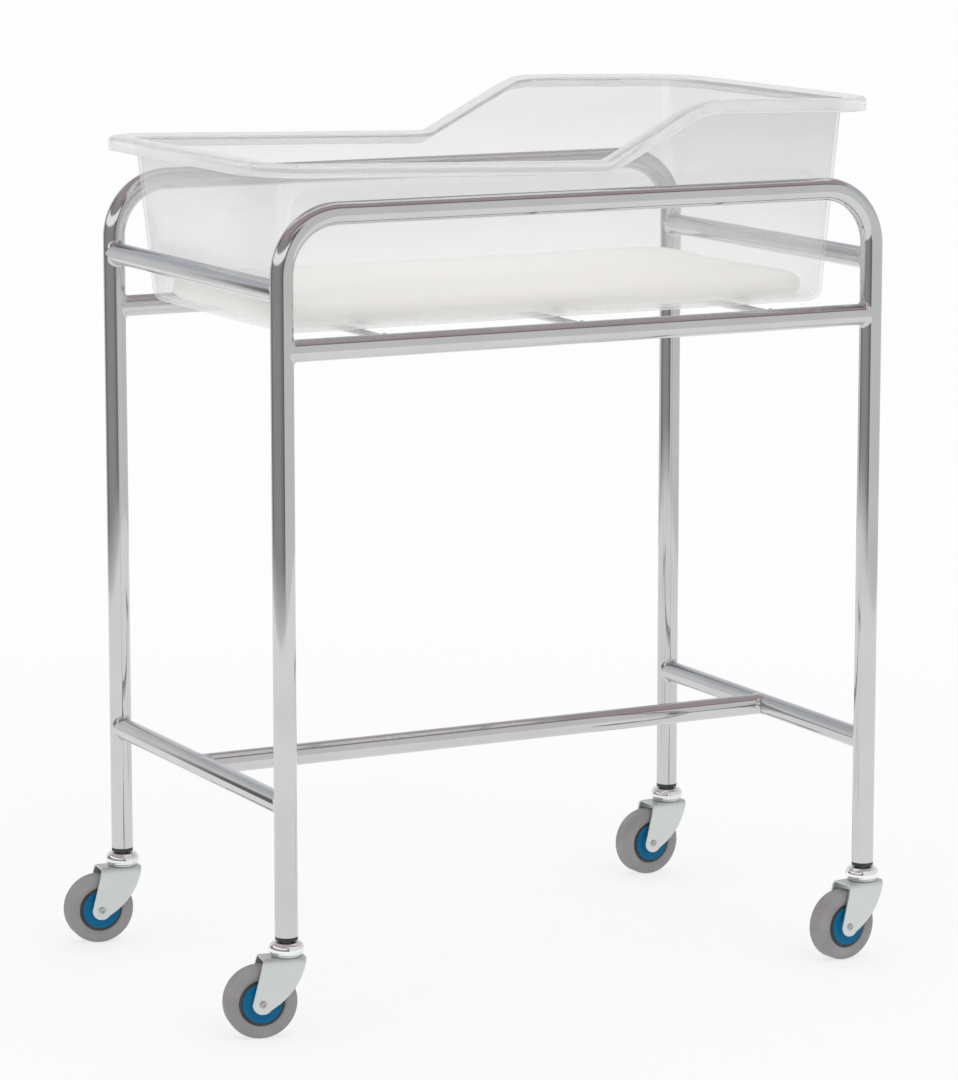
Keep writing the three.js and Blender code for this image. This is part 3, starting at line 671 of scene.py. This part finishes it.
def pad_form(shrink):
    """The pad as a closed skin, drawn in between its corners and smaller all round by shrink."""
    length, width, radius = PAD
    home = MIDDLE + Vector((TUB_SHIFT, 0, PAD_BOTTOM))
    rim = []
    for point, out in outline((length - 2 * shrink, width - 2 * shrink, radius), PAD_CORNER_STEPS):
        along = min(1, abs(point.x) / (length / 2))
        across = min(1, abs(point.y) / (width / 2))
        rim.append((point - out * PAD_DRAWN_IN * (1 - along * across), out))
    height = PAD_EDGE - 2 * shrink
    side = arc(-PAD_ROUND, shrink + PAD_ROUND, PAD_ROUND, -90, 0, PAD_EDGE_STEPS)
    side += arc(-PAD_ROUND, shrink + height - PAD_ROUND, PAD_ROUND, 0, 90, PAD_EDGE_STEPS)
    rings = []
    for across, up in side:
        rings.append([home + Vector((*(point + out * across), up)) for point, out in rim])
    top = rings[-1]
    middle = sum(top, Vector()) / len(top)
    for share in CROWN_SHARES:
        lift = Vector((0, 0, PAD_CROWN * math.sin(math.pi / 2 * share)))
        rings.append([point.lerp(middle, share) + lift for point in top])
    return skinned(rings)


def stuffed(pad):
    """Swells the pad by cloth pressure, held within a few millimetres of its form."""
    scene = bpy.context.scene
    remesh = pad.modifiers.new("even_mesh", "REMESH")
    remesh.mode, remesh.voxel_size = "VOXEL", PAD_VOXEL
    apply_all(pad)
    start = [vertex.co.copy() for vertex in pad.data.vertices]
    cloth = pad.modifiers.new("stuffing", "CLOTH")
    cloth.settings.use_pressure = True
    cloth.settings.uniform_pressure_force = PAD_PRESSURE
    cloth.settings.effector_weights.gravity = 0.0
    cloth.settings.quality = PAD_QUALITY
    cloth.point_cache.frame_start, cloth.point_cache.frame_end = 1, PAD_FRAMES
    for number in range(1, PAD_FRAMES + 1):
        scene.frame_set(number)
    apply_all(pad)
    scene.frame_set(1)
    ceiling = PAD_BOTTOM + PAD_EDGE + PAD_CROWN + SWELL_ABOVE
    for vertex, home in zip(pad.data.vertices, start):
        move = vertex.co - home
        if move.length > SWELL:
            vertex.co = home + move.normalized() * SWELL
        vertex.co.z = min(max(vertex.co.z, PAD_BOTTOM), ceiling)


def apply_all(made):
    """Puts the evaluated mesh in place of the mesh and its modifiers."""
    evaluated = made.evaluated_get(bpy.context.evaluated_depsgraph_get())
    shaped = bpy.data.meshes.new_from_object(evaluated)
    made.modifiers.clear()
    made.data = shaped


def mattress():
    skin = pad_form(PAD_SHRINK)
    pad = piece("mattress_pad", skin, COVER, "mattress", "cream_cover", ["mattress"], sharp=180.0)
    stuffed(pad)
    fine = pad.modifiers.new("fine", "SUBSURF")
    fine.levels = fine.render_levels = 1
    apply_all(pad)
    pad.data.shade_smooth()


# Casters

def cheek_reach(z):
    """How far a fork cheek reaches forward and back at a height."""
    half = math.sqrt(max(0, FORK_TIP ** 2 - (WHEEL - z) ** 2))
    if z < WHEEL:
        back = TRAIL + half
    else:
        back = TRAIL + FORK_TIP + (FORK_BACK - TRAIL - FORK_TIP) * (z - WHEEL) / (FORK_TOP - WHEEL)
    end_x, end_z = TRAIL + FORK_TIP * math.cos(FORK_LEAD), WHEEL + FORK_TIP * math.sin(FORK_LEAD)
    if z < end_z:
        return TRAIL - half, back
    bend_z = WHEEL + FORK_TIP
    a, b, c = FORK_TOP - 2 * bend_z + end_z, 2 * (bend_z - FORK_TOP), FORK_TOP - z
    t = (-b - math.sqrt(max(0, b * b - 4 * a * c))) / (2 * a)
    return (1 - t) ** 2 * FORK_FRONT + 2 * t * (1 - t) * FORK_BULGE + t * t * end_x, back


def fork(place):
    """A pressed fork: one sheet bent over the wheel, as rings across its gauge."""
    lowest = WHEEL - FORK_TIP
    shoulder = FORK_TOP - FORK_BEND
    levels = [lowest + FORK_TIP * (1 - math.cos(math.radians(a))) for a in TIP_ANGLES]
    levels += [WHEEL + (shoulder - WHEEL) * i / CHEEK_STEPS for i in range(CHEEK_STEPS + 1)]
    half = [(z, (FORK_OUTER, z), (FORK_OUTER - FORK_GAUGE, z)) for z in levels]

    def bent(radius, turn):
        return FORK_OUTER - FORK_BEND + radius * math.cos(turn), shoulder + radius * math.sin(turn)

    for angle in BEND_ANGLES:
        outer = bent(FORK_BEND, math.radians(angle))
        half.append((outer[1], outer, bent(FORK_BEND - FORK_GAUGE, math.radians(angle))))
    half.append((FORK_TOP, (FORK_CROWN, FORK_TOP), (FORK_CROWN, FORK_TOP - FORK_GAUGE)))
    rows = [(z, (-oy, oz), (-iy, iz)) for z, (oy, oz), (iy, iz) in half] + list(reversed(half))
    rings = []
    for z, outer, inner in rows:
        front, back = cheek_reach(z)
        spread = [front + (back - front) * i / CHEEK_COLUMNS for i in range(CHEEK_COLUMNS + 1)]
        ring = [Vector((x, *outer)) for x in spread] + [Vector((x, *inner)) for x in reversed(spread)]
        rings.append([place @ point for point in ring])
    return skinned(rings)


def rounded(profile, radius, steps=3):
    """A closed profile with each corner cut round."""
    found = []
    for i, (r, z) in enumerate(profile):
        here = Vector((r, z))
        before, after = Vector(profile[i - 1]), Vector(profile[(i + 1) % len(profile)])
        first, last = before - here, after - here
        cut = min(radius, CORNER_SHARE * first.length, CORNER_SHARE * last.length)
        a, b = here + first.normalized() * cut, here + last.normalized() * cut
        for k in range(steps + 1):
            t = k / steps
            spot = a * (1 - t) ** 2 + here * 2 * t * (1 - t) + b * t * t
            found.append((spot.x, spot.y))
    return found


def mirrored(half):
    """A profile on one side of the wheel's middle, followed by its mirror image."""
    return half + [(r, -z) for r, z in reversed(half)]


def caster(name, side_x, side_y, trail):
    home = Matrix.Translation(MIDDLE + Vector((side_x * LEG_X, side_y * LEG_Y, 0)))
    turn = home @ Matrix.Rotation(math.radians(trail), 4, "Z")
    axle = turn @ Matrix.Translation((TRAIL, 0, WHEEL)) @ Matrix.Rotation(-math.pi / 2, 4, "X")
    swivel, wheel = f"{name}_swivel", f"{name}_wheel"

    def made(ending, skin, look, body, slot, node, **options):
        return piece(f"{name}_{ending}", skin, look, body, slot, [f"{name}_{node}"], **options)

    sleeve = turned(rounded(SLEEVE, SLEEVE_ROUND), home)
    made("sleeve_plug", sleeve, BLACK, "frame", "black_plastic", "sleeve")
    angles = [math.radians(a) for a in DOME_ANGLES]
    (middle, level), (out, up) = DOME_CENTRE, DOME_REACH
    curve = [(middle + out * math.cos(a), level + up * math.sin(a)) for a in angles]
    dome = turned(DOME_FOOT + curve + DOME_TOP, home)
    # The dome takes the brighter copy of the chrome, a painted highlight
    made("dome", dome, DOME_CHROME_PAINTED_BRIGHT, "frame", "chrome", "dome_cap")
    race = turned(rounded(RACE, RACE_ROUND), home)
    made("race", race, ZINC, "frame", "zinc_steel", "ball_race")

    cheeks = made("fork_press", fork(turn), ZINC, swivel, "zinc_steel", "fork", sharp=32.0)
    soft = cheeks.modifiers.new("soft_edges", "BEVEL")
    soft.width, soft.segments = FORK_SOFT, FORK_SOFT_STEPS
    soft.limit_method, soft.angle_limit = "ANGLE", FORK_SOFT_ANGLE
    rivet = turned(mirrored(RIVET_HALF), axle, RIVET_SIDES, joined=False)
    made("rivet", rivet, RIVET, swivel, "zinc_steel", "axle", sharp=50.0)

    core = turned(rounded(mirrored(CORE_HALF), CORE_ROUND), axle)
    made("core", core, BLACK, wheel, "black_plastic", "wheel_core")
    tread = turned(mirrored(TREAD_HALF), axle, TREAD_SIDES)
    made("tread", tread, RUBBER, wheel, "grey_rubber", "tyre", sharp=60.0)
    for side, sign in (("outer", -1), ("inner", 1)):
        dish = turned([(r, sign * z) for r, z in DISH], axle)
        made(f"{side}_dish", dish, BLUE, wheel, "blue_plastic", f"{side}_disc", sharp=40.0)
    for node in (f"{name}_stem", f"{name}_axle_bush"):
        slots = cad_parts[node].data.materials
        slots.clear()
        slots.append(ZINC)


# Studio

def staged(name, skin, look):
    """A mesh of the studio, which is no part of the bassinet."""
    mesh = bpy.data.meshes.new(name)
    mesh.from_pydata([tuple(point) for point in skin[0]], [], skin[1])
    mesh.materials.append(look)
    made = bpy.data.objects.new(name, mesh)
    bpy.context.scene.collection.objects.link(made)
    return made


def pale_floor():
    """White far off, and partly lit near the bassinet so that it keeps the shadow."""
    look = finish("pale_floor")
    spot = look.node("ShaderNodeVectorMath", {"operation": "LENGTH"}, {0: look.place()}, "Value")
    tone = look.blend(look.noise(3.0), (0.92, 0.92, 0.92, 1), (0.94, 0.94, 0.94, 1))
    lit = look.node("ShaderNodeBsdfDiffuse", {}, {"Color": tone})
    own = look.node("ShaderNodeEmission", {}, {"Color": (0.985, 0.985, 0.985, 1)})
    share = 0.7 + 0.3 * look.steps(spot, 0.7, 2.2)
    return look.cover(look.mixed(share, lit, own))


def room_walls():
    """The room's round wall, as the chrome shows it.

    It is dark to the left of the camera, with a bright window band there, blue-grey high at the
    back and light elsewhere.
    """
    look = finish("room_walls")
    dark_side = look.along(-0.6 * AHEAD - 0.8 * RIGHT)
    height = look.along((0, 0, 1))
    behind = look.along(AHEAD)
    back = look.steps(height, 1.0, 1.6) * look.steps(behind, -0.6, 0.6)
    shade = look.blend(look.steps(dark_side, DARK_WHOLE, DARK_END), DARK_NEAR, DARK_FAR)
    dark = look.steps(dark_side, DARK_START, DARK_WHOLE) * look.steps(height, 0.0, 0.12)
    tone = look.blend(back, LIGHT_WALL, BACK_WALL)
    band = look.steps(height, *WINDOW_FOOT) * look.steps(height, *WINDOW_HEAD)
    window = band * look.steps(dark_side, WINDOW_START, WINDOW_WHOLE)
    wall = look.blend(window, look.blend(dark, tone, shade), WINDOW_TONE)
    return look.cover(look.node("ShaderNodeEmission", {}, {"Color": wall}))


def room_ceiling():
    """A dull red ceiling with a darker band along its front, and light in front of that."""
    look = finish("room_ceiling")
    depth = look.along((0, 1, 0))
    red = look.blend(look.steps(depth, -1.3, -1.0), RED_EDGE, RED_CEILING)
    tone = look.blend(look.steps(depth, -1.72, -1.62), LIGHT_WALL, red)
    return look.cover(look.node("ShaderNodeEmission", {}, {"Color": tone}))


def lamp(name, place, aim, size, power):
    light = bpy.data.lights.new(name, "AREA")
    light.shape, light.size, light.energy = "DISK", size, power
    made = bpy.data.objects.new(name, light)
    made.location = place
    made.rotation_euler = (Vector(aim) - Vector(place)).to_track_quat("-Z", "Y").to_euler()
    made.visible_glossy = False
    bpy.context.scene.collection.objects.link(made)


def studio():
    reach = FLOOR_HALF
    floor = [(-reach, -reach, 0), (reach, -reach, 0), (reach, reach, 0), (-reach, reach, 0)]
    staged("studio_floor", (floor, [(0, 1, 2, 3)]), pale_floor())
    count = ROOM_SIDES
    turn = [2 * math.pi * i / count for i in range(count)]
    low, high = (
        [(ROOM * math.cos(a), ROOM * math.sin(a), z) for a in turn] for z in (WALL_FOOT, CEILING)
    )
    sides = [(i, (i + 1) % count, count + (i + 1) % count, count + i) for i in range(count)]
    walls = staged("studio_walls", (low + high, sides), room_walls())
    ceiling = staged("studio_ceiling", (high, [tuple(range(count))]), room_ceiling())
    for made in (walls, ceiling):
        made.visible_camera = made.visible_diffuse = False
        made.visible_shadow = made.visible_transmission = False
    for name, (ahead, right, height, aim, size, power) in LAMPS.items():
        place = AHEAD * ahead + RIGHT * right + Vector((0, 0, height))
        lamp(name, place, (0, 0, aim), size, power)

    world = bpy.data.worlds.new("studio_world")
    bpy.context.scene.world = world
    air = Finish(world)
    rays = air.tree.nodes.new("ShaderNodeLightPath")
    kinds = ("Is Camera Ray", "Is Glossy Ray", "Is Transmission Ray")
    eye, glossy, transmitted = (Wire(air, rays.outputs[kind]) for kind in kinds)
    shown = eye + glossy + transmitted
    background = air.tree.nodes["Background"]
    background.inputs["Strength"].default_value = 1.0
    tone = air.blend(air.steps(shown, 0.0, 1.0), WORLD_LIGHT, WORLD_SEEN)
    air.tree.links.new(tone.socket, background.inputs["Color"])


def camera():
    look = AHEAD * math.cos(PITCH) + Vector((0, 0, -math.sin(PITCH)))
    view = bpy.data.cameras.new("photo_view")
    view.sensor_width, view.lens = SENSOR, SENSOR * FOCAL_PIXELS / FRAME_PIXELS
    made = bpy.data.objects.new("photo_view", view)
    made.location = MIDDLE + Vector(CAMERA_PLACE)
    made.rotation_euler = look.to_track_quat("-Z", "Y").to_euler()
    bpy.context.scene.collection.objects.link(made)
    bpy.context.scene.camera = made


tube_frame()
tub()
mattress()
for caster_name, (x_side, y_side, trailing) in CASTERS.items():
    caster(caster_name, x_side, y_side, trailing)
studio()
camera()
bpy.context.scene.view_settings.view_transform = "Standard"
bpy.context.scene.cycles.transparent_max_bounces = TRANSPARENT_BOUNCES
